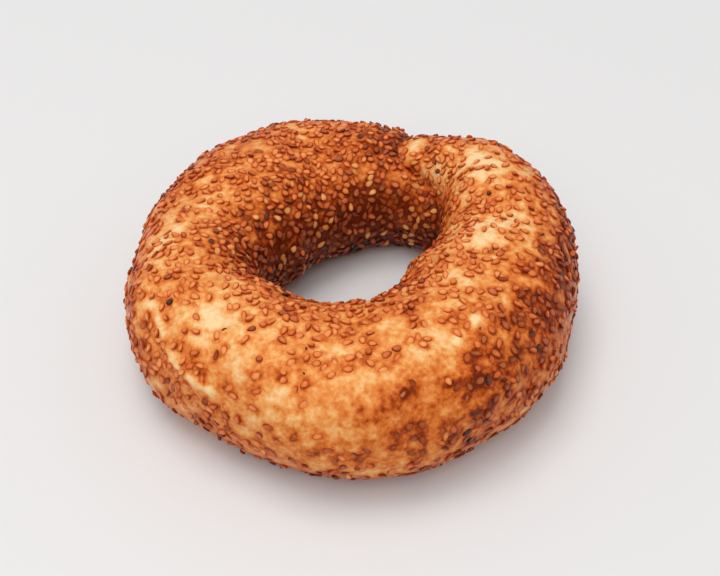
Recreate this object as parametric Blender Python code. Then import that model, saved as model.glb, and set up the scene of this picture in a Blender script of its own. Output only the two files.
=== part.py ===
"""A simit: a ring of bread dough rolled in sesame seed and baked.

One rope of dough is bent into a ring and its thick end is lapped over its thin end.
The join shows as a slanting crease at the far right of the ring.
The largest sesame seeds stand on the crust as solid relief.
Metres, +Z up. The ring rests on Z = 0, centred on the Z axis, with the join far right.
"""

import math
import random

import bmesh
import bpy
import numpy as np
from mathutils import Matrix, Vector
from mathutils.bvhtree import BVHTree

MM = 0.001

# The rope at twelve places round the ring, 30 degrees apart, in millimetres.
# The first is at +X, and they run over the far side (+Y) to the left and the front.
PATH_RADIUS = (45, 50.3, 50, 46, 46, 43.5, 46.5, 49.5, 48, 49, 46.5, 43.5)
HALF_WIDTH = (23, 20.9, 18, 23, 26.5, 25, 20.5, 21, 22, 24.5, 25.5, 26)
ROPE_HEIGHT = (42.5, 42.7, 38.5, 38, 39.5, 40, 39.5, 41.5, 41.5, 42, 42.5, 43)

# What moves the middle of the ring's outer box onto the Z axis, in millimetres.
CENTRING = (-0.65, 1.6)

# The rope's section: a full rounded square that sags a little on its flat base.
SECTION_POWER = 2.2
WIDEST_AT = 0.45
BASE_SAG = 1.10

# The join: angles in degrees, lengths in millimetres.
SEAM_OUTSIDE = 72
SEAM_INSIDE = 40
SEAM_AT_FLOOR = 50
CREASE_ON_TOP = 2.3
CREASE_INSIDE = 3.8
LIP_STEP = 1.0
LIP_LENGTH = 5.0
UNDERLAP_LENGTH = 8.0

# Between which angles round the rope the join slants into the hole and on to the floor,
# where its crease deepens, and where the crease and the swells fade near the base.
SLANT_SPAN = (95, 180)
FLOOR_SLANT_SPAN = (182, 215)
DEEPENING_SPAN = (105, 150)
CREASE_FADE_OUTSIDE = (-40, -5)
CREASE_FADE_INSIDE = (188, 222)
SWELL_FADE_OUTSIDE = (-50, -15)
SWELL_FADE_INSIDE = (195, 230)

# Shallow hand-rolled swells: height in millimetres, waves round the ring, waves
# round the rope, and where each starts in degrees.
SWELLS = ((0.35, 7, 2, 20), (0.25, 11, -3, 140), (0.2, 16, 4, 250))

# Facets of the ring. The plain torus is only a start for them, so its radii have no unit.
# Its lowest row of points counts as the outside, so the section is cut just below it.
FACETS_ROUND_RING = 72
FACETS_ROUND_ROPE = 22
SEAM_BUNCHING = 0.5
TORUS_RADIUS = 2
SECTION_CUT = -90.01
SHARP_ANGLE = 35

# Sesame: the largest seeds, in millimetres.
SEED_LENGTH = (3.2, 3.6)
SEED_WIDTH = 2.1
SEED_THICKNESS = 1.3
SEED_TAPER = 0.28
SEED_SIDES = 6
SEED_ROWS = 3
SEED_RISE = 0.15
SEED_GAP = 8.4
SPARSE_SEED_GAP = 13
SEED_LIMIT = 205
SEED_TRIES = 9000
SEED_SPAN_ROUND_ROPE = (-40, 225)
SEED_FLOOR_CLEARANCE = 5
SEAM_CLEARANCE = 5
SEED_DRAW = 11

# The smooth front flank, where the crust carries few seeds, in degrees.
BARE_FLANK_ROUND_RING = (232, 300)
BARE_FLANK_ROUND_ROPE = (-5, 62)

CRUST_COLOUR = (0.50, 0.17, 0.045, 1.0)
CRUST_ROUGHNESS = 0.45


def clear_scene():
    """Removes what the scene holds, so that the script gives the same part each run."""
    for thing in list(bpy.data.objects):
        bpy.data.objects.remove(thing, do_unlink=True)


def ease(start, end, value):
    """0 before start, 1 after end, and a smooth rise between them."""
    share = np.clip((value - start) / (end - start), 0, 1)
    return share * share * (3 - 2 * share)


def round_the_ring(stations, angle):
    """The smooth closed curve through evenly spaced stations, read at an angle in degrees."""
    values = np.array(stations, float)
    count = len(values)
    links = 4 * np.eye(count) + np.roll(np.eye(count), 1, 0) + np.roll(np.eye(count), -1, 0)
    bends = np.linalg.solve(links, np.roll(values, 1) - 2 * values + np.roll(values, -1))
    place = np.asarray(angle) / 360 * count
    first = np.floor(place).astype(int)
    share = place - first
    here, there = first % count, (first + 1) % count
    straight = (1 - share) * values[here] + share * values[there]
    near = ((1 - share) ** 3 - (1 - share)) * bends[here]
    far = (share ** 3 - share) * bends[there]
    return straight + near + far


def seam_angle(section):
    """Where the join runs, in degrees round the ring, for an angle round the rope."""
    slant = (SEAM_INSIDE - SEAM_OUTSIDE) * ease(*SLANT_SPAN, section)
    to_floor = (SEAM_AT_FLOOR - SEAM_INSIDE) * ease(*FLOOR_SLANT_SPAN, section)
    return SEAM_OUTSIDE + slant + to_floor


def crease(along, section):
    """How far the crust sinks beside the join, along millimetres past it."""
    depth = CREASE_ON_TOP + (CREASE_INSIDE - CREASE_ON_TOP) * ease(*DEEPENING_SPAN, section)
    over = depth * np.exp(-np.maximum(along, 0) / LIP_LENGTH)
    under = (depth + LIP_STEP) * np.exp(np.minimum(along, 0) / UNDERLAP_LENGTH)
    fade = ease(*CREASE_FADE_OUTSIDE, section) * (1 - ease(*CREASE_FADE_INSIDE, section))
    return fade * np.where(along >= 0, over, under)


def swell(ring, section):
    """The low unevenness of a rope rolled by hand, in millimetres."""
    height = np.zeros_like(ring)
    for size, rounds, turns, start in SWELLS:
        height += size * np.sin(np.radians(rounds * ring + turns * section + start))
    fade = ease(*SWELL_FADE_OUTSIDE, section) * (1 - ease(*SWELL_FADE_INSIDE, section))
    return height * fade


def crust(ring, section):
    """A point of the crust in metres, from the angle round the ring and round the rope.

    The section angle is 0 outside, 90 on top, 180 in the hole and -90 on the base.
    """
    radius = round_the_ring(PATH_RADIUS, ring)
    half_width = round_the_ring(HALF_WIDTH, ring)
    height = round_the_ring(ROPE_HEIGHT, ring)
    flat = np.cos(np.radians(section))
    upright = np.sin(np.radians(section))
    across = np.sign(flat) * np.abs(flat) ** (2 / SECTION_POWER)
    up = np.sign(upright) * np.abs(upright) ** (2 / SECTION_POWER)
    middle = WIDEST_AT * height
    reach = radius + half_width * across
    along = np.radians(ring - seam_angle(section)) * reach
    change = swell(ring, section) - crease(along, section)
    reach = radius + (half_width + change) * across
    rise = np.where(up > 0, (height - middle + change) * up, middle * BASE_SAG * up)
    turn = np.radians(ring)
    x = reach * np.cos(turn) + CENTRING[0]
    y = reach * np.sin(turn) + CENTRING[1]
    z = np.maximum(middle + rise, 0)
    return np.stack([x, y, z], -1) * MM


def make_ring(collection):
    """The rope of dough: a torus whose rings lean along the join and take its section."""
    bpy.ops.mesh.primitive_torus_add(
        major_segments=FACETS_ROUND_RING,
        minor_segments=FACETS_ROUND_ROPE,
        major_radius=TORUS_RADIUS,
        minor_radius=1,
    )
    ring = bpy.context.active_object
    ring.name = "simit"
    ring.data.name = "simit"
    for owner in list(ring.users_collection):
        owner.objects.unlink(ring)
    collection.objects.link(ring)

    points = np.array([vertex.co for vertex in ring.data.vertices], float)
    distance = np.hypot(points[:, 0], points[:, 1])
    section = np.degrees(np.arctan2(points[:, 2], distance - TORUS_RADIUS))
    section = np.where(section < SECTION_CUT, section + 360, section)
    turn = np.arctan2(points[:, 1], points[:, 0])
    past_seam = np.degrees(turn - SEAM_BUNCHING * np.sin(turn))
    lean = (seam_angle(section) - SEAM_OUTSIDE) * (1 + np.cos(np.radians(past_seam))) / 2
    placed = crust(SEAM_OUTSIDE + past_seam + lean, section)
    for vertex, point in zip(ring.data.vertices, placed):
        vertex.co = point
    return ring


def make_seed_mesh():
    """One flat teardrop seed, a unit long each way from its middle, pointed towards +X."""
    form = bmesh.new()
    bmesh.ops.create_uvsphere(form, u_segments=SEED_SIDES, v_segments=SEED_ROWS, radius=1)
    for vertex in form.verts:
        up, side, length = vertex.co
        narrowing = 1 - SEED_TAPER * length
        vertex.co = (length, side * narrowing, up * narrowing)
    bmesh.ops.recalc_face_normals(form, faces=form.faces)
    mesh = bpy.data.meshes.new("sesame_seed")
    form.to_mesh(mesh)
    form.free()
    return mesh


def in_bare_flank(ring, section):
    """Whether a place lies on the smooth front flank."""
    beside = BARE_FLANK_ROUND_RING[0] < ring < BARE_FLANK_ROUND_RING[1]
    return beside and BARE_FLANK_ROUND_ROPE[0] < section < BARE_FLANK_ROUND_ROPE[1]


def seed_places(ring_object):
    """Spreads places for the seeds over the crust, by drawing and keeping a clear gap."""
    draw = random.Random(SEED_DRAW)
    skin = BVHTree.FromPolygons(
        [vertex.co for vertex in ring_object.data.vertices],
        [polygon.vertices for polygon in ring_object.data.polygons],
    )
    kept = []
    for _ in range(SEED_TRIES):
        ring = draw.uniform(0, 360)
        section = draw.uniform(*SEED_SPAN_ROUND_ROPE)
        target = Vector(crust(np.array(ring), np.array(section)))
        place, outward, _, _ = skin.find_nearest(target)
        reach = Vector((place.x, place.y)).length
        from_seam = abs(math.radians(ring - float(seam_angle(section)))) * reach
        if place.z < SEED_FLOOR_CLEARANCE * MM or from_seam < SEAM_CLEARANCE * MM:
            continue
        gap = (SPARSE_SEED_GAP if in_bare_flank(ring, section) else SEED_GAP) * MM
        if all((place - other).length > gap for other, _ in kept):
            kept.append((place, outward))
        if len(kept) == SEED_LIMIT:
            break
    return kept


def lay_seeds(ring_object, collection):
    """Lays a seed at each place, flat on the crust and turned at random."""
    draw = random.Random(SEED_DRAW + 1)
    mesh = make_seed_mesh()
    for number, (place, outward) in enumerate(seed_places(ring_object)):
        length = draw.uniform(*SEED_LENGTH)
        size = Matrix.Diagonal((length / 2, SEED_WIDTH / 2, SEED_THICKNESS / 2, 1 / MM)) * MM
        lie = outward.to_track_quat("Z", "Y").to_matrix().to_4x4()
        spin = Matrix.Rotation(draw.uniform(0, 2 * math.pi), 4, "Z")
        seed = bpy.data.objects.new(f"seed_{number}", mesh)
        seed.matrix_world = Matrix.Translation(place + outward * SEED_RISE * MM) @ lie @ spin @ size
        collection.objects.link(seed)


def fuse(ring, seeds):
    """Joins the seeds to the crust in one Boolean union and removes the loose ones."""
    union = ring.modifiers.new("fuse_seeds", "BOOLEAN")
    union.operation = "UNION"
    union.operand_type = "COLLECTION"
    union.collection = seeds
    union.solver = "EXACT"
    bpy.context.view_layer.objects.active = ring
    bpy.ops.object.modifier_apply(modifier=union.name)
    for seed in list(seeds.objects):
        bpy.data.objects.remove(seed, do_unlink=True)
    bpy.data.collections.remove(seeds)


def crust_material():
    """Baked crust: toasted orange brown with the dull gloss of a washed loaf."""
    material = bpy.data.materials.new("baked_crust")
    material.use_nodes = True
    shader = material.node_tree.nodes["Principled BSDF"]
    shader.inputs["Base Color"].default_value = CRUST_COLOUR
    shader.inputs["Roughness"].default_value = CRUST_ROUGHNESS
    shader.inputs["Metallic"].default_value = 0.0
    return material


def main():
    clear_scene()
    simit = bpy.data.collections.new("simit")
    seeds = bpy.data.collections.new("sesame_seeds")
    bpy.context.scene.collection.children.link(simit)
    bpy.context.scene.collection.children.link(seeds)

    ring = make_ring(simit)
    lay_seeds(ring, seeds)
    fuse(ring, seeds)
    ring.data.materials.clear()
    ring.data.materials.append(crust_material())
    ring.data.shade_smooth()
    ring.data.set_sharp_from_angle(angle=math.radians(SHARP_ANGLE))


main()
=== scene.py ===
# %% [markdown]
# A simit is a rope of bread dough, bent into a ring, rolled in sesame seed and baked.
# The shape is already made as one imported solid, and this lesson makes the looks: the
# browned crust, thousands of toasted seeds, and a pale floor and soft light to see them.
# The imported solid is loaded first, because every piece here is placed on its frame.

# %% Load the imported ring
import math
import random

import bmesh
import bpy
import numpy as np
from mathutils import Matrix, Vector, kdtree, noise


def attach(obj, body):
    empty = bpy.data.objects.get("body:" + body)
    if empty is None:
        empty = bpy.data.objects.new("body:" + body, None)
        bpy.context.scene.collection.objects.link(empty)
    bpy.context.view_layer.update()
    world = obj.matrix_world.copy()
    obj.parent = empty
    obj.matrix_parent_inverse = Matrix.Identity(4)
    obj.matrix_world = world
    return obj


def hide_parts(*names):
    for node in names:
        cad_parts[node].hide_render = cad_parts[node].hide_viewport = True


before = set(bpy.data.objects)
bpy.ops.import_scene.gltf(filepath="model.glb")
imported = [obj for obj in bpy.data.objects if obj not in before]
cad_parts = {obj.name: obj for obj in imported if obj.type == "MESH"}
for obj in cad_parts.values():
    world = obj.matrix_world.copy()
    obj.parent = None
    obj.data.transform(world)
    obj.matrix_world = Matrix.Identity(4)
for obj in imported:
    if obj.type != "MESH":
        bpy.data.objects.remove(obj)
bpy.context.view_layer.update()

MM = 0.001

# %% [markdown]
# The bread lies on a smooth pale table, seen from above at about forty degrees. A plane
# could be small and sit in a white world, but a low view would then show its edge. A wide
# plane and a world of nearly the same tone look like one endless pale studio.

# %% Pale floor
FLOOR_SIDE = 8.0
FLOOR_COLOUR = (0.68, 0.675, 0.675, 1)
FLOOR_ROUGHNESS = 0.55
FLOOR_SPECULAR = 0.2

bpy.ops.mesh.primitive_plane_add(size=FLOOR_SIDE)
floor = bpy.context.active_object
floor.name = "pale_floor"
floor_paint = bpy.data.materials.new("pale_floor")
floor_paint.use_nodes = True
floor_shader = floor_paint.node_tree.nodes["Principled BSDF"]
floor_shader.inputs["Base Color"].default_value = FLOOR_COLOUR
floor_shader.inputs["Roughness"].default_value = FLOOR_ROUGHNESS
floor_shader.inputs["Specular IOR Level"].default_value = FLOOR_SPECULAR
floor.data.materials.append(floor_paint)
print("floor is", FLOOR_SIDE, "m wide")

# %% [markdown]
# The camera stands 38 cm from the bread and looks down at it. Its distance and its lens
# were worked out together from how the ring's near side is larger than its far side.
# An empty could be tracked, but pointing the camera by its own matrix keeps it simple.

# %% Camera
LOOK_AT = Vector((1.7, 16.5, 0)) * MM
VIEW_DISTANCE = 380 * MM
VIEW_ELEVATION = math.radians(41.6)
LENS = 58.5
SENSOR_WIDTH = 36
NEAREST_SEEN = 10 * MM

eye = bpy.data.objects.new("camera", bpy.data.cameras.new("camera"))
bpy.context.scene.collection.objects.link(eye)
away = Vector((0, -math.cos(VIEW_ELEVATION), math.sin(VIEW_ELEVATION)))
eye.location = LOOK_AT + away * VIEW_DISTANCE
eye.rotation_euler = (-away).to_track_quat("-Z", "Y").to_euler()
eye.data.lens = LENS
eye.data.sensor_width = SENSOR_WIDTH
eye.data.clip_start = NEAREST_SEEN
bpy.context.scene.camera = eye
print("camera at", [round(c, 3) for c in eye.location])

# %% [markdown]
# The light is soft and nearly overhead, a little from the far left, so the near right side
# falls into shade and the shadow is only a narrow band there. A second one from the front,
# wider and about as strong, opens the near flank, as a bright room would. A sun lamp would
# be simpler, but its shadows are hard, so both are large area lights, and the pale world
# fills the rest.

# %% Light
LIGHTS = (
    ("window_light", (-0.31, 0.15, 2.08), 1.2, 20.9, (1.0, 0.985, 0.97)),
    ("room_light", (-0.30, -1.45, 1.95), 2.0, 24.7, (1.0, 0.99, 0.98)),
)
ROOM_COLOUR = (0.96, 0.97, 0.98, 1)
ROOM_STRENGTH = 0.56


def hang_light(name, place, side, power, colour):
    """A square area light at a place, turned to the bread."""
    light = bpy.data.objects.new(name, bpy.data.lights.new(name, "AREA"))
    bpy.context.scene.collection.objects.link(light)
    light.location = place
    light.rotation_euler = (-Vector(place)).to_track_quat("-Z", "Y").to_euler()
    light.data.size = side
    light.data.energy = power
    light.data.color = colour
    return light


for name, place, side, power, colour in LIGHTS:
    hang_light(name, place, side, power, colour)
    print(name, "is", round(Vector(place).length, 2), "m away")

room = bpy.data.worlds.new("bright_room")
room.use_nodes = True
room.node_tree.nodes["Background"].inputs["Color"].default_value = ROOM_COLOUR
room.node_tree.nodes["Background"].inputs["Strength"].default_value = ROOM_STRENGTH
bpy.context.scene.world = room
bpy.context.scene.view_settings.view_transform = "Standard"

# %% [markdown]
# The form of the crust is a formula, the same one that made the solid. A place on it is
# two angles: one round the ring, from the right over the far side, and one round the rope,
# 0 outside, 90 on top and 180 in the hole. Twelve stations give the rope's path, width and
# height, and one smooth closed curve runs through them. Sculpting could give such a form
# too, but a formula lets us ask it where the surface is, and that is what seeds need.

# %% Rope measures
PATH_RADIUS = (45, 50.3, 50, 46, 46, 43.5, 46.5, 49.5, 48, 49, 46.5, 43.5)
HALF_WIDTH = (23, 20.9, 18, 23, 26.5, 25, 20.5, 21, 22, 24.5, 25.5, 26)
ROPE_HEIGHT = (42.5, 42.7, 38.5, 38, 39.5, 40, 39.5, 41.5, 41.5, 42, 42.5, 43)


def ease(start, end, value):
    """0 before start, 1 after end, and a smooth rise between them."""
    share = np.clip((value - start) / (end - start), 0, 1)
    return share * share * (3 - 2 * share)


def round_the_ring(stations, angle):
    """The smooth closed curve through evenly spaced stations, read at an angle in degrees."""
    values = np.array(stations, float)
    count = len(values)
    links = 4 * np.eye(count) + np.roll(np.eye(count), 1, 0) + np.roll(np.eye(count), -1, 0)
    bends = np.linalg.solve(links, np.roll(values, 1) - 2 * values + np.roll(values, -1))
    place = np.asarray(angle) / 360 * count
    first = np.floor(place).astype(int)
    share = place - first
    here, there = first % count, (first + 1) % count
    straight = (1 - share) * values[here] + share * values[there]
    near = ((1 - share) ** 3 - (1 - share)) * bends[here]
    far = (share ** 3 - share) * bends[there]
    return straight + near + far


widths = 2 * round_the_ring(HALF_WIDTH, np.arange(360))
print("rope is", round(widths.min(), 1), "to", round(widths.max(), 1), "mm wide")

# %% [markdown]
# The rope's thick end is lapped over its thin end at the far right. The join slants from
# the outside into the hole, where it is deepest. The crust sinks towards it on both sides,
# and the end that lies under stays a step lower. Two lapped ropes could be modelled, but
# the oven has welded them, so one skin with a crease is truer. Each pair of angles here
# says between which places round the rope a change fades in or out. A swell is its height
# in millimetres, its waves round the ring and round the rope, and where it starts.

# %% The join
SEAM_OUTSIDE = 72
SEAM_INSIDE = 40
SEAM_AT_FLOOR = 50
CREASE_ON_TOP = 2.3
CREASE_INSIDE = 3.8
LIP_STEP = 1.0
LIP_LENGTH = 5.0
UNDERLAP_LENGTH = 8.0
SLANT_SPAN = (95, 180)
TURN_BACK_SPAN = (182, 215)
SEAM_TURN_UNDER = 11
UNDER_FROM_HOLE = (225, 270)
UNDER_FROM_OUTSIDE = (-90, -45)
DEEPER_SPAN = (105, 150)
CREASE_STARTS = (-40, -5)
CREASE_ENDS = (188, 222)
SWELLS = ((0.35, 7, 2, 20), (0.25, 11, -3, 140), (0.2, 16, 4, 250))
SWELLS_START = (-50, -15)
SWELLS_END = (195, 230)


def seam_angle(section):
    """Where the join runs, in degrees round the ring, for an angle round the rope."""
    slant = (SEAM_INSIDE - SEAM_OUTSIDE) * ease(*SLANT_SPAN, section)
    slant += (SEAM_AT_FLOOR - SEAM_INSIDE) * ease(*TURN_BACK_SPAN, section)
    under = ease(*UNDER_FROM_HOLE, section) - (1 - ease(*UNDER_FROM_OUTSIDE, section))
    return SEAM_OUTSIDE + slant + SEAM_TURN_UNDER * under


def crease(along, section):
    """How far the crust sinks beside the join, along millimetres past it."""
    depth = CREASE_ON_TOP + (CREASE_INSIDE - CREASE_ON_TOP) * ease(*DEEPER_SPAN, section)
    over = depth * np.exp(-np.maximum(along, 0) / LIP_LENGTH)
    under = (depth + LIP_STEP) * np.exp(np.minimum(along, 0) / UNDERLAP_LENGTH)
    fade = ease(*CREASE_STARTS, section) * (1 - ease(*CREASE_ENDS, section))
    return fade * np.where(along >= 0, over, under)


def swell(ring, section):
    """The low unevenness of a rope rolled by hand, in millimetres."""
    height = np.zeros_like(ring)
    for size, rounds, turns, start in SWELLS:
        height += size * np.sin(np.radians(rounds * ring + turns * section + start))
    return height * ease(*SWELLS_START, section) * (1 - ease(*SWELLS_END, section))


print("the join slants over", SEAM_OUTSIDE - SEAM_INSIDE, "degrees")

# %% [markdown]
# Bread has features smaller than the solid needs: a thin pale ridge where the skin
# stretched on the front left, the proud lip of the join, and a few blisters that rose and
# browned. A bump in the material would show no edge against the light, so they are true
# relief. A blister is its two angles, its width and its rise in millimetres. The lip's
# crest and groove are each a distance past the join and a width.

# %% Ridge and blisters
RIDGE_FROM = (216, 45)
RIDGE_TO = (237, 21)
RIDGE_HEIGHT = 0.55
RIDGE_WIDTH = 1.6
RIDGE_BOW = 2.2
LIP_RISE = 0.7
LIP_CREST = (2.6, 2.0)
LIP_GROOVE = (-0.6, 1.3)
LIP_STARTS = (-40, -5)
LIP_ENDS = (150, 185)
BLISTER_SHOULDER = 1.4
BLISTERS = (
    (282, 45, 3.4, 0.7),
    (279, 37, 2.6, 0.5),
    (297, 39, 3.0, 0.5),
    (301, 19, 4.6, 0.6),
    (308, 22, 3.6, 0.6),
    (306, 71, 1.7, 0.5),
    (299, 66, 1.4, 0.3),
    (258, 26, 2.6, 0.3),
    (270, -9, 3.0, 0.4),
    (247, 49, 5.0, 0.3),
    (30, 92, 5.0, 0.35),
    (190, 74, 5.0, 0.3),
    (120, 20, 4.0, 0.5),
    (150, 48, 3.2, 0.5),
    (20, 30, 3.6, 0.5),
)
ROPE_GIRTH_RADIUS = 21
PATH_MIDDLE = 47


def way_between(ring, section, place):
    """Millimetres along the ring and round the rope from a place to each point."""
    turn = (np.asarray(ring) - place[0] + 180) % 360 - 180
    reach = PATH_MIDDLE + ROPE_GIRTH_RADIUS * np.cos(np.radians(place[1]))
    along = np.radians(turn) * reach
    over = np.radians(np.asarray(section) - place[1]) * ROPE_GIRTH_RADIUS
    return along, over


def ridge_nearness(ring, section, width):
    """1 on the pale ridge line, fading to 0 within its width in millimetres."""
    along, over = way_between(ring, section, RIDGE_FROM)
    end = [float(part) for part in way_between(RIDGE_TO[0], RIDGE_TO[1], RIDGE_FROM)]
    length = math.hypot(*end)
    share = np.clip((along * end[0] + over * end[1]) / length ** 2, 0, 1)
    bow = RIDGE_BOW * np.sin(share * math.pi)
    across = (along * end[1] - over * end[0]) / length
    past = np.hypot(along - share * end[0], over - share * end[1])
    aside = np.where((share > 0) & (share < 1), np.abs(across - bow), past)
    return np.exp(-(aside / width) ** 2)


def small_relief(ring, section, along_seam):
    """The ridge, the join's proud lip and the blisters, in millimetres above the rope."""
    height = RIDGE_HEIGHT * ridge_nearness(ring, section, RIDGE_WIDTH)
    on_show = ease(*LIP_STARTS, section) * (1 - ease(*LIP_ENDS, section))
    for rise, (middle, width) in ((LIP_RISE, LIP_CREST), (-LIP_RISE, LIP_GROOVE)):
        height += rise * on_show * np.exp(-((along_seam - middle) / width) ** 2)
    for turn, slope, width, rise in BLISTERS:
        along, over = way_between(ring, section, (turn, slope))
        height += rise * np.exp(-((along ** 2 + over ** 2) / width ** 2) ** BLISTER_SHOULDER)
    return height


print(len(BLISTERS), "blisters and one ridge")

# %% [markdown]
# Now the whole crust is one function of the two angles. The rope's section is an oval, a
# little squared, widest below its middle, and flat where it lay to bake. A mesh could be
# moulded to that by hand, but then the seeds would have to be fitted to the mesh. The
# slopes of the crust are measured beside it, because they tell which way is outward.

# %% The crust as a formula
CENTRING = (-0.65, 1.6)
SECTION_POWER = 2.2
WIDEST_AT = 0.45
BASE_SAG = 1.10
SKIN_INSET = 0.45
BASE_LIFT = 0.25
SLOPE_STEP = 0.4


def crust(ring, section):
    """A point of the crust in millimetres, from its two angles in degrees."""
    ring, section = np.asarray(ring, float), np.asarray(section, float)
    radius = round_the_ring(PATH_RADIUS, ring)
    half_width = round_the_ring(HALF_WIDTH, ring)
    height = round_the_ring(ROPE_HEIGHT, ring)
    flat = np.cos(np.radians(section))
    upright = np.sin(np.radians(section))
    across = np.sign(flat) * np.abs(flat) ** (2 / SECTION_POWER)
    up = np.sign(upright) * np.abs(upright) ** (2 / SECTION_POWER)
    middle = WIDEST_AT * height
    reach = radius + half_width * across
    along = np.radians(ring - seam_angle(section)) * reach
    change = swell(ring, section) - crease(along, section) - SKIN_INSET
    change += small_relief(ring, section, along)
    reach = radius + (half_width + change) * across
    rise = np.where(up > 0, (height - middle + change) * up, middle * BASE_SAG * up)
    turn = np.radians(ring)
    x = reach * np.cos(turn) + CENTRING[0]
    y = reach * np.sin(turn) + CENTRING[1]
    return np.stack([x, y, np.maximum(middle + rise, BASE_LIFT)], -1)


def slopes(ring, section):
    """The steps of the crust along the ring and round the rope, in mm for a radian."""
    wide = math.radians(2 * SLOPE_STEP)
    along = (crust(ring + SLOPE_STEP, section) - crust(ring - SLOPE_STEP, section)) / wide
    over = (crust(ring, section + SLOPE_STEP) - crust(ring, section - SLOPE_STEP)) / wide
    return along, over


print("crust on top of the near side, mm:", np.round(crust(270, 90), 1))

# %% [markdown]
# The crust isn't one colour. Where the oven and the wash caught it, it is brown, and where the
# skin stretched late it stayed cream. Such patches could be painted by hand on the mesh. Here each
# is a soft spot with its two angles, its reach along and round the rope in millimetres, and a
# strength, so the map can be read and changed. Below zero is paler and above zero is browner. Some
# spots are partly painted light and shade: browner ones deep in the hole, on its far wall and on
# the right and near right flank add painted shade, and paler ones on the inner wall by the join
# add painted light.

# %% Pale and browned places, with painted light and shade
# Soft spots of browning and paleness; some of them are painted shade and painted light.
BAKE_LIGHT_AND_SHADE_SPOTS = (
    (33, 94, 8, 4, -0.26),
    (26, 80, 5, 9, -0.14),
    (8, 84, 8, 6, -0.12),
    (66, 94, 2.8, 8, -0.60),
    (190, 72, 9, 6, -0.36),
    (202, 78, 5, 6, -0.20),
    (211, 50, 4, 4, -0.26),
    (226, 76, 8, 8, -0.28),
    (228, 53, 6, 6, -0.06),
    (243, 50, 5, 8, -0.20),
    (247, 36, 5, 8, 0.16),
    (219, 104, 7, 4, -0.22),
    (262, 75, 8, 6, -0.06),
    (257, 28, 5, 3, 0.18),
    (246, 48, 2.5, 2, 0.20),
    (255, 12, 3, 2.5, 0.20),
    (248, 12, 12, 9, -0.10),
    (236, -4, 8, 6, -0.06),
    (294, 68, 9, 6, -0.30),
    (284, 84, 7, 5, -0.12),
    (272, 58, 9, 5, -0.12),
    (314, 104, 7, 6, -0.26),
    (334, 96, 7, 6, -0.14),
    (350, 104, 8, 5, -0.26),
    (355, 82, 6, 5, -0.18),
    (165, 98, 8, 5, -0.12),
    (325, 36, 22, 9, 0.22),
    (300, 30, 10, 9, 0.15),
    (284, 42, 7, 6, -0.02),
    (300, -8, 20, 7, 0.06),
    (262, -32, 40, 4, 0.16),
    (60, 75, 8, 8, 0.14),
    (350, 40, 26, 12, 0.13),
    (350, 52, 8, 7, 0.10),
    (70, 150, 14, 8, 0.10),
    (180, 128, 22, 7, 0.16),
    (5, 30, 26, 10, 0.08),
    (213, 30, 7, 8, 0.04),
    (306.2, 71, 1.5, 1.3, -0.60),
    (298.8, 66, 1.1, 1.0, -0.45),
    (232, 64, 6, 6, -0.12),
    (40, 96, 9, 8, -0.16),
    (48, 138, 9, 10, -0.18),
    (38, 160, 9, 8, -0.14),
    (106, 66, 14, 7, -0.08),
    (136, 75, 12, 6, 0.05),
    (283, 30, 15, 8, 0.14),
    (297, 50, 6, 8, 0.16),
    (280, 8, 10, 5, 0.03),
    (254, 40, 6, 5, -0.10),
    (287, 60, 8, 7, 0.13),
    (267, 50, 8, 6, 0.02),
    (274, 27, 8, 7, 0.08),
    (256, -5, 10, 6, 0.14),
    (30, 102, 18, 14, -0.14),
    (352, 96, 10, 12, -0.18),
    (160, 84, 12, 10, -0.10),
    (192, 64, 8, 5, -0.10),
    (57, 120, 7, 9, -0.13),
    (51, 128, 6, 8, -0.12),
    (78, 96, 10, 8, 0.20),
    (277, 85, 8, 6, 0.09),
    (302, 68, 5, 5, 0.08),
    (28, 120, 8, 6, -0.15),
    (344, 138, 14, 8, -0.30),
    (174, 110, 9, 7, -0.12),
    (36, 82, 8, 5, 0.15),
    (64, 110, 8, 7, 0.22),
    (77, 142, 8, 7, 0.12),
    (88, 166, 14, 8, -0.08),
    (92, 71, 10, 7, -0.06),
    (152, 140, 12, 8, 0.13),
    (112, 65, 10, 7, -0.08),
    (148, 108, 9, 7, -0.12),
    (236, 94, 8, 7, -0.18),
    (290, 102, 7, 6, 0.10),
    (278, 112, 9, 7, -0.16),
    (222, 40, 7, 6, -0.04),
    (236, 34, 7, 6, 0.10),
    (263, 23, 6, 5, -0.08),
    (308, 82, 6, 6, -0.12),
    (264, 86, 12, 6, -0.08),
    (258, 62, 8, 6, -0.07),
    (279, 28, 12, 9, 0.07),
    (240, 26, 7, 6, 0.08),
    (318, 48, 14, 8, 0.07),
    (16, 76, 7, 6, 0.08),
    (75, 215, 40, 10, 0.20),
    (150, 55, 20, 9, 0.08),
    (195, 20, 20, 9, 0.05),
    (100, 20, 40, 14, 0.16),
    (20, 20, 26, 10, 0.14),
)
EVEN_BROWNING = 0.37
# The hole is browned more, most on its far wall: partly the oven's colour and partly painted
# shade, for the walls of the hole lie in shade.
HOLE_BROWNING_AND_SHADE = 0.42
HOLE_STARTS = (122, 172)
HOLE_ENDS = (205, 240)
HOLE_PALEST_AT = -60
HOLE_PALEST_SHARE = 0.35
BASE_BROWNING = 0.30
BASE_FROM_OUTSIDE = (-62, -20)
BASE_FROM_HOLE = (215, 240)
# The crust is darker in the join's crease and at its lip's edge: partly the oven's colour, partly
# painted shade in the crease and on the step's face.
SEAM_BROWNING_AND_SHADE = 0.12
SEAM_DARK_WIDTH = 1.8
SEAM_DARK_SPAN = (95, 120)
LIP_DARKER = 2.2
LIP_EDGE = (-0.5, 0.2)
LIP_BACK = (0.6, 2.4)
LIP_DARK_SPAN = (-40, 20)
RIDGE_PALENESS = 0.42
RIDGE_PALE_WIDTH = RIDGE_WIDTH * 0.8
BURNT_TURNS = (270, 304)
BURNT_BELOW = 60
BURNT_TONE = 0.3
UNBURNT_TONE = -0.15
BLISTER_TONE_WIDTH = 0.8


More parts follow.
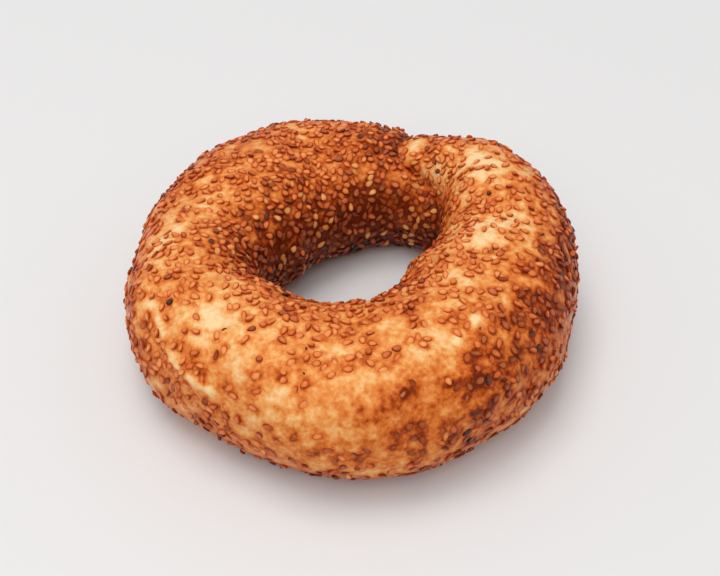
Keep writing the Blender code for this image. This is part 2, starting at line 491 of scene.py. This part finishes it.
def spots(ring, section, places):
    """Adds up soft spots: angles of the place, half sizes in millimetres, and strength."""
    total = np.zeros_like(ring)
    for turn, slope, long, tall, strength in places:
        along, over = way_between(ring, section, (turn, slope))
        total += strength * np.exp(-(along / long) ** 2 - (over / tall) ** 2)
    return total


def past_the_seam(ring, section):
    """How far a place lies past the join, in millimetres along the rope."""
    reach = PATH_MIDDLE + ROPE_GIRTH_RADIUS * np.cos(np.radians(section))
    return np.radians(ring - seam_angle(section)) * reach


def browning_light_and_shade(ring, section):
    """How browned the crust is, with painted shade and light, from 0 for cream dough to 1 for
    nearly burnt.
    """
    far_side = 0.5 - 0.5 * np.cos(np.radians(ring - HOLE_PALEST_AT))
    depth = HOLE_PALEST_SHARE + (1 - HOLE_PALEST_SHARE) * far_side
    in_hole = ease(*HOLE_STARTS, section) * (1 - ease(*HOLE_ENDS, section)) * depth
    below = 1 - ease(*BASE_FROM_OUTSIDE, section) + ease(*BASE_FROM_HOLE, section)
    from_seam = past_the_seam(ring, section)
    # Darker crust in the crease and at the lip's edge: partly oven colour, partly painted shade.
    at_seam = np.exp(-(from_seam / SEAM_DARK_WIDTH) ** 2) * ease(*SEAM_DARK_SPAN, section)
    at_lip = ease(*LIP_EDGE, from_seam) * (1 - ease(*LIP_BACK, from_seam))
    at_lip *= ease(*LIP_DARK_SPAN, section)
    tone = EVEN_BROWNING + HOLE_BROWNING_AND_SHADE * in_hole + BASE_BROWNING * np.clip(below, 0, 1)
    tone += SEAM_BROWNING_AND_SHADE * np.maximum(at_seam, LIP_DARKER * at_lip)
    # Bake spots, with painted shade and painted light among them.
    tone += spots(ring, section, BAKE_LIGHT_AND_SHADE_SPOTS)
    tone -= RIDGE_PALENESS * ridge_nearness(ring, section, RIDGE_PALE_WIDTH)
    for turn, slope, width, rise in BLISTERS:
        along, over = way_between(ring, section, (turn, slope))
        burnt = BURNT_TURNS[0] < turn < BURNT_TURNS[1] and slope < BURNT_BELOW
        change = BURNT_TONE if burnt else UNBURNT_TONE
        spread = (BLISTER_TONE_WIDTH * width) ** 2
        tone += change * rise * np.exp(-((along ** 2 + over ** 2) / spread))
    return tone


print(len(BAKE_LIGHT_AND_SHADE_SPOTS), "soft spots")

# %% [markdown]
# A torus has the right layout of faces for a ring, and one cut across each face makes it
# dense enough for stains round single seeds. Its points are then moved to the formula, with
# the ring's columns leaning so that one of them runs along the join, and with more rows on
# the top, where the eye is. Fine noise roughens the skin by a tenth or two of a millimetre,
# but leaves the base smooth.

# %% Dough ring
COLUMNS = 256
ROWS = 92
RAW_RADIUS = 2
TOP_ROWS_BUNCHING = 0.3
SKIN_NOISE = ((0.16, 5.0), (0.09, 2.2))
SMOOTH_BASE = (0.5, 3.0)
NO_LENGTH = 1e-9


def make_dough():
    """The dough ring as a dense torus on the crust formula, and its points' angles."""
    bpy.ops.mesh.primitive_torus_add(
        major_segments=COLUMNS, minor_segments=ROWS, major_radius=RAW_RADIUS, minor_radius=1
    )
    ring = bpy.context.active_object
    ring.name = "dough_ring"
    form = bmesh.new()
    form.from_mesh(ring.data)
    bmesh.ops.subdivide_edges(form, edges=form.edges, cuts=1, use_grid_fill=True)
    form.to_mesh(ring.data)
    form.free()
    raw = np.empty(len(ring.data.vertices) * 3)
    ring.data.vertices.foreach_get("co", raw)
    raw = raw.reshape(-1, 3)
    slope = np.arctan2(raw[:, 2], np.hypot(raw[:, 0], raw[:, 1]) - RAW_RADIUS)
    from_top = (slope - math.pi / 2 + math.pi) % (2 * math.pi) - math.pi
    section = 90 + np.degrees(from_top - TOP_ROWS_BUNCHING * np.sin(from_top))
    turn = np.arctan2(raw[:, 1], raw[:, 0])
    lean = (seam_angle(section) - SEAM_OUTSIDE) * (1 + np.cos(turn)) / 2
    angle = SEAM_OUTSIDE + np.degrees(turn) + lean
    return ring, angle, section


def roughen(points, outward):
    """Adds the skin's fine unevenness along the outward directions, in millimetres."""
    height = np.zeros(len(points))
    for size, width in SKIN_NOISE:
        height += size * np.array([noise.noise(Vector(point / width)) for point in points])
    above_base = ease(*SMOOTH_BASE, points[:, 2])
    return points + outward * (height * above_base)[:, None]


dough, dough_ring, dough_section = make_dough()
along, over = slopes(dough_ring, dough_section)
dough_outward = np.cross(along, over)
dough_outward /= np.linalg.norm(dough_outward, axis=1)[:, None] + NO_LENGTH
dough_points = roughen(crust(dough_ring, dough_section), dough_outward)
dough.data.vertices.foreach_set("co", (dough_points * MM).ravel())
dough.data.update()
dough.data.shade_smooth()
print("dough has", len(dough.data.polygons), "faces and is",
      np.round(np.ptp(dough_points, axis=0), 1), "mm")

# %% [markdown]
# Rolling the rope in a tray of seed covers nearly all of it, most thickly in the hole and
# on the far side, while the front flank, the join and the stretched pale patches stay
# nearly bare. A weight map could be painted on the mesh, but here the cover is a rule with
# soft spots, as the browning is, so that it can be asked for any place on the crust.

# %% How thickly seeds lie
COVER_ON_TOP = 0.48
COVER_IN_HOLE = 1.0
COVER_RISES = (88, 118)
COVER_LEAST = 0.03
COVER_ON_BASE = 0.15
SIDES_START = (-50, -20)
SIDES_END = (215, 232)
RIDGE_BARENESS = 0.9
BARE_SEAM = (-0.5, 0.9)
COVER_SPOTS = (
    (100, 82, 36, 20, 0.42),
    (138, 104, 20, 8, 0.16),
    (345, 38, 24, 12, 0.26),
    (15, 34, 26, 14, 0.26),
    (318, 44, 12, 12, 0.18),
    (160, 20, 40, 12, 0.10),
    (262, 96, 18, 6, 0.14),
    (268, 84, 14, 6, 0.12),
    (275, 34, 30, 11, -0.44),
    (291, 62, 9, 7, -0.36),
    (262, 12, 18, 10, -0.20),
    (300, -6, 18, 8, 0.10),
    (306.2, 71, 3, 3, -0.6),
    (226, 76, 9, 8, -0.38),
    (243, 50, 9, 9, -0.40),
    (219, 104, 6, 4, -0.3),
    (208, 50, 6, 7, -0.14),
    (189, 66, 8, 4, -0.34),
    (131, 76, 9, 7, -0.36),
    (33, 94, 9, 4, -0.36),
    (24, 78, 7, 10, -0.16),
    (66, 94, 3.0, 8, -0.9),
    (348, 104, 7, 4, -0.2),
    (312, 104, 6, 4, -0.2),
)


def seed_cover(ring, section):
    """The share of the crust that seeds hide, from 0 for none to 1 in the hole."""
    in_hole = ease(*COVER_RISES, section) * (1 - ease(*BASE_FROM_HOLE, section))
    cover = COVER_ON_TOP + (COVER_IN_HOLE - COVER_ON_TOP) * in_hole
    cover += spots(ring, section, COVER_SPOTS)
    sides = ease(*SIDES_START, section) * (1 - ease(*SIDES_END, section))
    off_base = COVER_ON_BASE + (1 - COVER_ON_BASE) * sides
    bare_ridge = 1 - RIDGE_BARENESS * ridge_nearness(ring, section, RIDGE_WIDTH)
    from_bare = (past_the_seam(ring, section) - BARE_SEAM[0]) / BARE_SEAM[1]
    bare_seam = 1 - np.exp(-from_bare ** 2)
    return np.clip(cover, COVER_LEAST, 1.0) * off_base * bare_ridge * bare_seam


tops = np.array([270.0, 90.0])
print("cover on the near and the far top:", np.round(seed_cover(tops, 90.0), 2))

# %% [markdown]
# The seeds are thrown in clumps, as thickly as the cover says, and each one stays only
# where it has room. A particle system would scatter them too, but it is lost in an export.
# A seed is tested as two small discs along its length, which lets seeds nestle side by side as
# real ones do, and a grid of cells keeps the tests few. The black seeds and specks catch the eye,
# so they are listed one by one and go first: two angles, and a share of a full seed's size.

# %% Where seeds lie
SEED_DRAW = 7
TRIES = 90000
SEEDS_THROWN = 7800
CLUMP_WIDTH = 5.5
CLUMP_STRENGTH = 2.6
CLUMPS_END_AT = 1.15
CLUMP_LIMITS = (0.12, 2.6)
COVER_CONTRAST = 1.25
DISC_OFFSET = 0.62
DISC_SPACING = (1.45, 1.10)
SPACING_COVERS = (0.4, 0.95)
SEED_LOWEST = 1.6
BASE_EDGES = (-65, 240)
CELL_SIDE = 4
BLACK_SEEDS = (
    (214.8, 61.5, 1.0),
    (234.2, 67.5, 0.75),
    (318.5, 39.5, 0.9),
    (318.5, 28.5, 1.0),
    (306, 27.5, 0.9),
    (239, 125, 1.0),
    (14.3, 103, 0.8),
    (49, 124.5, 0.8),
    (296.5, -7, 1.0),
    (298, -25, 1.0),
    (193, 108, 0.9),
    (305.8, 64.5, 0.35),
    (258.8, 57.5, 0.32),
    (258, 75, 0.30),
)


def draw_places():
    """Random places, thrown in clumps, as likely in each square millimetre as the cover says."""
    draw = np.random.default_rng(SEED_DRAW)
    ring = draw.uniform(0, 360, TRIES)
    section = draw.uniform(-90, 270, TRIES)
    along, over = slopes(ring, section)
    area = np.linalg.norm(np.cross(along, over), axis=1)
    clumps = np.array([noise.noise(Vector(point / CLUMP_WIDTH)) for point in crust(ring, section)])
    cover = seed_cover(ring, section)
    clumped = np.clip(1 + CLUMP_STRENGTH * clumps * (CLUMPS_END_AT - cover), *CLUMP_LIMITS)
    chance = cover ** COVER_CONTRAST * clumped * area
    kept = draw.uniform(0, 1, TRIES) < chance * SEEDS_THROWN / chance.sum()
    return ring[kept], section[kept]


def seed_axes(ring, section, heading):
    """A seed's middle on the crust, and its long, cross and outward directions."""
    along, over = slopes(ring, section)
    middle = crust(ring, section)
    outward = np.cross(along, over)
    outward /= np.linalg.norm(outward, axis=-1, keepdims=True)
    along /= np.linalg.norm(along, axis=-1, keepdims=True)
    side = np.cross(outward, along)
    turn = np.asarray(heading)[..., None]
    lengthwise = along * np.cos(turn) + side * np.sin(turn)
    return middle, lengthwise, np.cross(outward, lengthwise), outward


def settle_seeds():
    """Keeps the places where a seed has room. Returns angles and headings."""
    draw = random.Random(SEED_DRAW)
    ring, section = draw_places()
    ring = np.concatenate([[place[0] for place in BLACK_SEEDS], ring])
    section = np.concatenate([[place[1] for place in BLACK_SEEDS], section])
    heading = np.array([draw.uniform(0, 2 * math.pi) for _ in ring])
    middle, lengthwise, _, _ = seed_axes(ring, section, heading)
    tips = np.stack([middle - DISC_OFFSET * lengthwise, middle + DISC_OFFSET * lengthwise], 1)
    spacing = np.interp(seed_cover(ring, section), SPACING_COVERS, DISC_SPACING)
    cells = {}
    kept = []
    for number in range(len(ring)):
        on_side = BASE_EDGES[0] < section[number] < BASE_EDGES[1]
        if on_side and middle[number, 2] < SEED_LOWEST:
            continue
        cell = tuple((middle[number] // CELL_SIDE).astype(int))
        near = [
            other
            for i in (-1, 0, 1)
            for j in (-1, 0, 1)
            for k in (-1, 0, 1)
            for other in cells.get((cell[0] + i, cell[1] + j, cell[2] + k), ())
        ]
        if near:
            gaps = tips[number][:, None, None] - tips[near][None]
            if (np.linalg.norm(gaps, axis=-1) < spacing[number]).any():
                continue
        cells.setdefault(cell, []).append(number)
        kept.append(number)
    return ring[kept], section[kept], heading[kept]


seed_ring, seed_section, seed_heading = settle_seeds()
print(len(seed_ring), "seeds settled")

# %% [markdown]
# A sesame seed is a flat drop, three millimetres long, two wide and one thick, with a
# rounded rim and a slight hollow in each face. A sphere from bmesh with its poles on the
# flat faces is close, so its points are pressed and tapered into a few variants, each with
# its own plumpness, taper and depth of hollow. The part that would be deep in the dough is
# cut off and closed, which saves faces.

# %% Seed shapes
SEED_SIZE = (3.10, 1.98, 1.05)
SEED_SIDES = 14
SEED_ROWS = 8
CUT_BELOW = -0.6
LONGER_TIP = 0.06
ROUNDER_SIDES = 0.08
FLATTER_FACES = 0.62
RIM_SPAN = (0.5, 0.98)
VARIANTS = ((1.0, 0.25, 0.12), (0.90, 0.32, 0.18), (1.08, 0.18, 0.08), (0.94, 0.22, 0.02))


def seed_shape(plumpness, taper, hollow):
    """One seed's points in millimetres, its faces, and how near each point is to the rim."""
    form = bmesh.new()
    bmesh.ops.create_uvsphere(form, u_segments=SEED_SIDES, v_segments=SEED_ROWS, radius=1)
    buried = [vertex for vertex in form.verts if vertex.co.z < CUT_BELOW]
    bmesh.ops.delete(form, geom=buried, context="VERTS")
    bmesh.ops.holes_fill(form, edges=form.edges)
    raw = np.array([vertex.co for vertex in form.verts])
    faces = [[vertex.index for vertex in face.verts] for face in form.faces]
    form.free()
    from_middle = np.hypot(raw[:, 0], raw[:, 1])
    length = raw[:, 0] * (1 + LONGER_TIP * raw[:, 0])
    width = raw[:, 1] * plumpness * (1 - taper * raw[:, 0] - ROUNDER_SIDES * raw[:, 0] ** 2)
    height = np.sign(raw[:, 2]) * np.abs(raw[:, 2]) ** FLATTER_FACES
    height *= 1 - hollow * (1 - from_middle) ** 2
    points = np.stack([length, width, height], 1) * np.array(SEED_SIZE) / 2
    return points, faces, ease(*RIM_SPAN, from_middle)


SHAPES = [seed_shape(*variant) for variant in VARIANTS]
print(len(SHAPES), "seed shapes of", len(SHAPES[0][1]), "faces")

# %% [markdown]
# The oven toasts each seed its own way. Six kinds are enough to tell apart: copper, russet,
# chestnut, brown, burnt and golden. Chance alone could deal them out, but then the bread would
# look like confetti, so a seed's kind follows how browned the dough is at its place, painted shade
# and light included, with some chance added. Spots of darker seeds deep in the hole, on its far
# wall, on the right flanks and along the bottom edge by the floor are partly painted shade. The
# golden ones lie sheltered in the hole.

# %% Kinds of seed
KINDS = (
    "copper_seeds", "russet_seeds", "chestnut_seeds", "brown_seeds", "burnt_seeds", "golden_seeds"
)
KIND_TONES = (0.42, 0.56, 0.74, 1.24)
TOASTING_SHIFT = 0.03
TOASTING_SPREAD = 0.20
GOLDEN_SHARE = 0.14
INNER_WALL = (95, 125)
# Spots where seeds are darker: partly toasting, partly painted shade in the hole, on the shaded
# flanks and by the floor.
DARK_SEED_AND_SHADE_SPOTS = (
    (290, 8, 36, 16, 0.30),
    (322, 36, 20, 12, 0.20),
    (245, -18, 40, 9, 0.30),
    (10, 30, 26, 12, 0.16),
    (90, 70, 40, 16, 0.10),
    (130, 135, 50, 16, 0.10),
    (75, 212, 50, 10, 0.26),
)


def kinds_of_seeds():
    """The kind of each seed, from how browned its place is with painted shade and light, and some
    chance.
    """
    draw = np.random.default_rng(SEED_DRAW + 1)
    toast_and_shade = browning_light_and_shade(seed_ring, seed_section)
    toast_and_shade += draw.normal(TOASTING_SHIFT, TOASTING_SPREAD, len(toast_and_shade))
    toast_and_shade += spots(seed_ring, seed_section, DARK_SEED_AND_SHADE_SPOTS)
    kinds = np.digitize(toast_and_shade, KIND_TONES)
    on_inner_wall = ease(*INNER_WALL, seed_section) * (1 - ease(*BASE_FROM_HOLE, seed_section))
    golden = draw.uniform(0, 1, len(kinds)) < GOLDEN_SHARE * on_inner_wall
    kinds[golden] = KINDS.index("golden_seeds")
    kinds[: len(BLACK_SEEDS)] = KINDS.index("burnt_seeds")
    return kinds


seed_kinds = kinds_of_seeds()
print("seeds of each kind:", np.bincount(seed_kinds))

# %% [markdown]
# Each kind is joined into one mesh from arrays, which Blender and an export handle far
# better than thousands of objects. Every seed keeps a tint of its own as a point attribute,
# and lies a little deeper or more tilted than the next, as seeds do that were pressed in
# by rolling. Under the ring they lie flat, because the bread rests on them.

# %% Seeds on the dough
SEED_RISE = (-0.30, 0.18)
SUNK_FLANK = ((275, 20, 40, 18, 1.0),)
FLANK_SINK = 0.24
HOLE_RISE = 0.14
FLAT_SEED_EDGES = (-62, 238)
FLAT_SEED_RISE = 0.30
LOWEST_POINT = 0.02
TILT = math.radians(14)
SIZE_SPREAD = (0.80, 1.10)


def join_seeds(name, chosen, tints, draw):
    """One mesh of all the chosen seeds, with tint and rim as point attributes."""
    middle, lengthwise, crosswise, outward = seed_axes(
        seed_ring[chosen], seed_section[chosen], seed_heading[chosen]
    )
    from_outside, from_hole = FLAT_SEED_EDGES
    below = (seed_section[chosen] < from_outside) | (seed_section[chosen] > from_hole)
    flank = spots(seed_ring[chosen], seed_section[chosen], SUNK_FLANK)
    rise = draw.uniform(*SEED_RISE, len(chosen)) - FLANK_SINK * flank
    rise += HOLE_RISE * seed_cover(seed_ring[chosen], seed_section[chosen])
    rise = np.where(below, FLAT_SEED_RISE, rise)
    tilt = np.where(below, 0, draw.normal(0, TILT, len(chosen)))[:, None]
    roll = np.where(below, 0, draw.normal(0, TILT, len(chosen)))[:, None]
    lengthwise = lengthwise + outward * np.tan(tilt)
    lengthwise /= np.linalg.norm(lengthwise, axis=1)[:, None]
    crosswise = crosswise + outward * np.tan(roll)
    crosswise -= lengthwise * (crosswise * lengthwise).sum(1)[:, None]
    crosswise /= np.linalg.norm(crosswise, axis=1)[:, None]
    upward = np.cross(lengthwise, crosswise)
    size = draw.uniform(*SIZE_SPREAD, (len(chosen), 3)) * seed_scale[chosen][:, None]
    variant = draw.integers(0, len(SHAPES), len(chosen))
    points, faces, tint, rim = [], [], [], []
    for number in range(len(chosen)):
        form, form_faces, form_rim = SHAPES[variant[number]]
        axes = np.stack([lengthwise[number], crosswise[number], upward[number]])
        placed = (form * size[number]) @ axes + middle[number] + outward[number] * rise[number]
        if below[number]:
            placed[:, 2] = np.maximum(placed[:, 2], LOWEST_POINT)
        start = len(points) * len(form)
        points.append(placed)
        faces.extend([[start + corner for corner in face] for face in form_faces])
        tint.append(np.full(len(form), tints[number]))
        rim.append(form_rim)
    mesh = bpy.data.meshes.new(name)
    mesh.from_pydata((np.concatenate(points) * MM).tolist(), [], faces)
    for label, values in (("tint", tint), ("rim", rim)):
        layer = mesh.attributes.new(label, "FLOAT", "POINT")
        layer.data.foreach_set("value", np.concatenate(values).astype(np.float32))
    mesh.shade_smooth()
    piece = bpy.data.objects.new(name, mesh)
    bpy.context.scene.collection.objects.link(piece)
    return piece


seed_scale = np.ones(len(seed_ring))
seed_scale[: len(BLACK_SEEDS)] = [place[2] for place in BLACK_SEEDS]
seed_draw = np.random.default_rng(SEED_DRAW + 2)
seed_pieces = {}
for number, name in enumerate(KINDS):
    chosen = np.flatnonzero(seed_kinds == number)
    tints = seed_draw.uniform(0, 1, len(chosen))
    seed_pieces[name] = join_seeds(name, chosen, tints, seed_draw)
    print(name, len(chosen), "seeds,", len(seed_pieces[name].data.polygons), "faces")

# %% [markdown]
# Fat and sugar from the seeds stain the dough around them, so a seed on pale dough has an
# orange-brown edge. Dough between close seeds is also made darker all over. A texture could hold
# that, but the mesh is dense enough: each point of the dough looks up its nearest seeds in a k-d
# tree and keeps the stain and the crowding as attributes, beside the browning with its painted
# light and shade. Long soft streaks are added to the browning, along the way in which the skin was
# stretched.

# %% Stains round the seeds
STAIN_REACH = 0.9
STAIN_FADE = 0.75
STAIN_OFFSETS = (-0.8, 0.0, 0.8)
CROWD_COUNT = 6
CROWD_SPAN = (1.2, 4.2)
STREAK_LENGTH = 8.0
STREAK_WIDTH = 3.4
STREAK_STRENGTH = 0.12
NARROWER_BY = 2.3
NARROW_SHARE = 0.6


def stain_of(points):
    """How stained each point of the dough is, and how crowded by seeds, from how near they are."""
    middle, lengthwise, _, _ = seed_axes(seed_ring, seed_section, seed_heading)
    tree = kdtree.KDTree(len(middle) * len(STAIN_OFFSETS))
    for step, offset in enumerate(STAIN_OFFSETS):
        for number, place in enumerate(middle + offset * lengthwise):
            tree.insert(Vector(place), step * len(middle) + number)
    tree.balance()
    distance = np.array([
        [found[2] for found in tree.find_n(Vector(point), CROWD_COUNT)] for point in points
    ])
    nearest = np.exp(-np.maximum(distance[:, 0] - STAIN_REACH, 0) / STAIN_FADE)
    crowd = 1 - ease(*CROWD_SPAN, distance[:, -1])
    return nearest, crowd


def streaks(ring, section):
    """Long soft streaks that run with the stretched skin, about zero."""
    around = np.radians(ring)
    places = np.stack([
        PATH_MIDDLE * np.cos(around) / STREAK_LENGTH,
        PATH_MIDDLE * np.sin(around) / STREAK_LENGTH,
        ROPE_GIRTH_RADIUS * np.radians(section) / STREAK_WIDTH,
    ], -1)
    broad = np.array([noise.noise(Vector(place)) for place in places])
    narrow = np.array([noise.noise(Vector(place * NARROWER_BY)) for place in places])
    return broad + NARROW_SHARE * narrow


stain, crowd = stain_of(dough_points)
# Browning and streaks, with the painted shade and painted light that the browning holds.
brown_light_and_shade = browning_light_and_shade(dough_ring, dough_section) + STREAK_STRENGTH * streaks(dough_ring, dough_section)
for label, values in (("browning_light_and_shade", brown_light_and_shade), ("stain", stain), ("crowd", crowd)):
    layer = dough.data.attributes.new(label, "FLOAT", "POINT")
    layer.data.foreach_set("value", values.astype(np.float32))
print("browning from", round(brown_light_and_shade.min(), 2), "to", round(brown_light_and_shade.max(), 2))

# %% [markdown]
# Crust and seeds both get node materials, which vary at every scale without a picture.
# Nodes could be wired one by one for each material, but a few helpers say what is meant:
# a point attribute, a weighted sum, a noise of some millimetres, a ramp and a bump.

# %% Helpers for materials
NOISE_MIDDLE = 0.5
NEW_STOP_AT = 0.5


def new_finish(name):
    """An empty node material, its shader and two helpers to add and join nodes."""
    finish = bpy.data.materials.new(name)
    finish.use_nodes = True
    nodes, links = finish.node_tree.nodes, finish.node_tree.links
    shader = nodes["Principled BSDF"]

    def add(kind, **settings):
        node = nodes.new("ShaderNode" + kind)
        for key_name, value in settings.items():
            setattr(node, key_name, value)
        return node

    def join(output, socket):
        links.new(output, socket)

    return finish, shader, add, join


def point_value(add, name):
    """The output of a point attribute as a number."""
    return add("Attribute", attribute_name=name).outputs["Fac"]


def summed(add, join, first, second, factor):
    """first + second x factor, where the inputs are outputs of nodes."""
    node = add("Math", operation="MULTIPLY_ADD")
    join(second, node.inputs[0])
    node.inputs[1].default_value = factor
    join(first, node.inputs[2])
    return node.outputs[0]


def grain(add, join, width_mm, detail):
    """Noise of a given width in millimetres, shifted to run about zero."""
    place = add("TexCoord").outputs["Object"]
    texture = add("TexNoise")
    texture.inputs["Scale"].default_value = 1 / (width_mm * MM)
    texture.inputs["Detail"].default_value = detail
    join(place, texture.inputs["Vector"])
    centred = add("Math", operation="SUBTRACT")
    join(texture.outputs["Fac"], centred.inputs[0])
    centred.inputs[1].default_value = NOISE_MIDDLE
    return centred.outputs[0]


def fill_ramp(ramp, stops):
    """Sets a colour ramp's stops from places and linear colours."""
    elements = ramp.color_ramp.elements
    while len(elements) < len(stops):
        elements.new(NEW_STOP_AT)
    for element, (position, colour) in zip(elements, stops):
        element.position = position
        element.color = (*colour, 1)


def roughen_finish(add, join, shader, grain_size, strength, depth_mm):
    """Joins a fine bump to the shader, from noise of a width and detail."""
    bump = add("Bump")
    bump.inputs["Strength"].default_value = strength
    bump.inputs["Distance"].default_value = depth_mm * MM
    join(grain(add, join, *grain_size), bump.inputs["Height"])
    join(bump.outputs["Normal"], shader.inputs["Normal"])


print("helpers for sums, grain, ramps and bumps are ready")

# %% [markdown]
# The crust's colour is one ramp from cream through gold and toasted orange to dark brown.
# The browning attribute, which also holds painted shade in the hole and on shaded flanks and a
# little painted light, the stains and some fine noise pick the place on the ramp, so all of its
# mottling stays in baked-bread colours, which a mix of separate colours would not promise.
# Roughness follows the finest noise, a small bump adds pores, and the gloss is low and warm, as on
# a loaf that was washed before it was baked. A grain or pore is a width in millimetres and the
# noise's detail.

# %% Crust material
CRUST_RAMP = (
    (0.00, (0.81, 0.56, 0.30)),
    (0.18, (0.78, 0.44, 0.18)),
    (0.36, (0.73, 0.30, 0.085)),
    (0.52, (0.65, 0.19, 0.040)),
    (0.68, (0.53, 0.112, 0.017)),
    (0.84, (0.32, 0.044, 0.005)),
    (1.00, (0.14, 0.016, 0.003)),
)
GLOSS_TINT = (1.0, 0.62, 0.34, 1)
STAIN_TONE = 0.27
CROWD_TONE = 0.10
MOTTLE_GRAIN = (4.0, 3.0)
MOTTLE_TONE = 0.9
FINE_GRAIN = (1.3, 3.0)
FINE_TONE = 0.7
CRUST_ROUGHNESS = 0.42
FINE_ROUGHNESS = 0.35
CRUST_PORES = (0.9, 5.0)
PORE_STRENGTH = 0.35
PORE_DEPTH = 0.35
CRUST_SPECULAR = 0.18


def crust_finish():
    """Baked crust: a ramp of bread colours, driven by browning with painted light and shade,
    stains and noise.
    """
    finish, shader, add, join = new_finish("baked_crust")
    # The browning attribute carries painted shade and painted light as well as the bake.
    tone = point_value(add, "browning_light_and_shade")
    tone = summed(add, join, tone, point_value(add, "stain"), STAIN_TONE)
    tone = summed(add, join, tone, point_value(add, "crowd"), CROWD_TONE)
    mottle = grain(add, join, *MOTTLE_GRAIN)
    fine = grain(add, join, *FINE_GRAIN)
    tone = summed(add, join, tone, mottle, MOTTLE_TONE)
    tone = summed(add, join, tone, fine, FINE_TONE)
    ramp = add("ValToRGB")
    fill_ramp(ramp, CRUST_RAMP)
    join(tone, ramp.inputs["Fac"])
    join(ramp.outputs["Color"], shader.inputs["Base Color"])
    roughness = add("Math", operation="MULTIPLY_ADD")
    join(fine, roughness.inputs[0])
    roughness.inputs[1].default_value = FINE_ROUGHNESS
    roughness.inputs[2].default_value = CRUST_ROUGHNESS
    join(roughness.outputs[0], shader.inputs["Roughness"])
    roughen_finish(add, join, shader, CRUST_PORES, PORE_STRENGTH, PORE_DEPTH)
    shader.inputs["Specular IOR Level"].default_value = CRUST_SPECULAR
    shader.inputs["Specular Tint"].default_value = GLOSS_TINT
    return finish


dough.data.materials.clear()
dough.data.materials.append(crust_finish())
print("crust ramp has", len(CRUST_RAMP), "colours")

# %% [markdown]
# A toasted seed is glossy, lighter in the middle and darker at its rim. The ramp of each kind runs
# from its lightest to its darkest seed by the tint, and the rim attribute pulls the colour towards
# a dark edge, which is partly the seed's own toasted edge and partly painted shade where the seed
# sinks into the dough. Fine noise adds the freckles of toasting. A picture could be wrapped on
# each seed, but values at its points need no unwrapping.

# %% Seed materials
SEED_COLOURS = {
    "copper_seeds": ((0.79, 0.290, 0.090), (0.67, 0.180, 0.042), (0.42, 0.058, 0.007)),
    "russet_seeds": ((0.76, 0.225, 0.060), (0.60, 0.125, 0.026), (0.33, 0.036, 0.005)),
    "chestnut_seeds": ((0.64, 0.160, 0.042), (0.46, 0.085, 0.017), (0.24, 0.025, 0.005)),
    "brown_seeds": ((0.44, 0.105, 0.030), (0.28, 0.052, 0.014), (0.15, 0.018, 0.005)),
    "golden_seeds": ((0.76, 0.370, 0.120), (0.64, 0.240, 0.060), (0.40, 0.090, 0.014)),
    "burnt_seeds": ((0.16, 0.040, 0.022), (0.060, 0.018, 0.013), (0.025, 0.008, 0.006)),
}
FRECKLES = (1.1, 4.0)
FRECKLE_TONE = 1.8
SEED_SKIN = (0.5, 2.0)
SEED_BUMP = 0.3
SEED_BUMP_DEPTH = 0.15
SEED_SOCKETS = {
    "Roughness": 0.32,
    "Specular IOR Level": 0.25,
    "Specular Tint": GLOSS_TINT,
    "Coat Weight": 0.05,
    "Coat Roughness": 0.12,
}


def seed_finish(name, light, deep, edge):
    """Toasted seed: light to deep by tint, darker at the rim with some painted shade, freckled and
    glossy.
    """
    finish, shader, add, join = new_finish(name)
    ramp = add("ValToRGB")
    fill_ramp(ramp, ((0.0, light), (1.0, deep)))
    freckles = grain(add, join, *FRECKLES)
    tint = summed(add, join, point_value(add, "tint"), freckles, FRECKLE_TONE)
    join(tint, ramp.inputs["Fac"])
    # The dark rim is partly painted contact shade where the seed meets the dough.
    darker = add("Mix", data_type="RGBA")
    join(point_value(add, "rim"), darker.inputs["Factor"])
    join(ramp.outputs["Color"], darker.inputs["A"])
    darker.inputs["B"].default_value = (*edge, 1)
    join(darker.outputs["Result"], shader.inputs["Base Color"])
    for socket, value in SEED_SOCKETS.items():
        shader.inputs[socket].default_value = value
    roughen_finish(add, join, shader, SEED_SKIN, SEED_BUMP, SEED_BUMP_DEPTH)
    return finish


for name, piece in seed_pieces.items():
    piece.data.materials.append(seed_finish(name, *SEED_COLOURS[name]))
print("seed finishes:", len(SEED_COLOURS))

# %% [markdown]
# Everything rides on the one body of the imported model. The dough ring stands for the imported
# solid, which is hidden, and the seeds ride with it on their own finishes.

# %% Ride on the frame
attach(dough, "root")
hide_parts("simit")
for piece in seed_pieces.values():
    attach(piece, "root")
